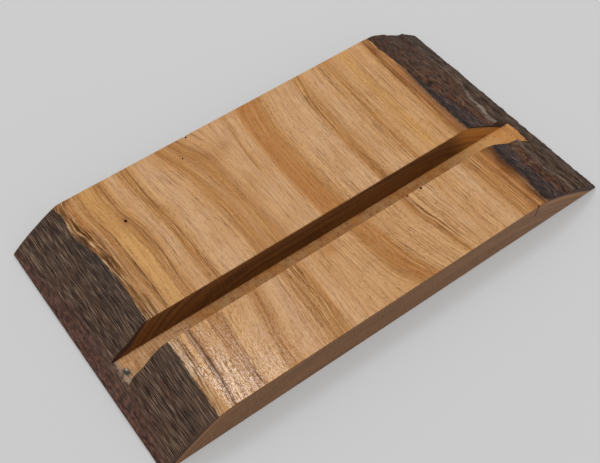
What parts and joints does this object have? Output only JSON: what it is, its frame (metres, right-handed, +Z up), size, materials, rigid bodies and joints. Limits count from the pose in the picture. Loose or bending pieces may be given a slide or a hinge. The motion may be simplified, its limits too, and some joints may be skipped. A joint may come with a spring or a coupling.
{
  "type": "live-edge charging dock",
  "caption": "Free-standing live-edge wooden dock: a sawn board with bark on both ends and a slanted open-ended groove that a phone leans in while it charges.",
  "frame": {"origin": "on the ground under the middle of the board's bounding box", "axes": "+X along the board from the smooth live edge to the rough one, +Y along the grain from the front face to the rear face, +Z up"},
  "size_m": [0.289, 0.16, 0.0213],
  "materials": {
    "oiled_wood": "satin clear finish over flat-sawn ring-porous wood",
    "inner_bark_grey": "smooth fibrous inner bark under a satin clear finish",
    "inner_bark_brown": "smooth inner bark under a satin clear finish",
    "outer_bark": "rough furrowed outer bark under a thin clear finish",
    "pad_rubber": "matt"
  },
  "bodies": {
    "root": {"slab": "oiled_wood", "inner_bark_left": "inner_bark_grey", "inner_bark_right": "inner_bark_brown", "outer_bark_right": "outer_bark", "pad_front_left": "pad_rubber", "pad_front_right": "pad_rubber", "pad_rear_left": "pad_rubber", "pad_rear_right": "pad_rubber"}
  },
  "joints": []
}
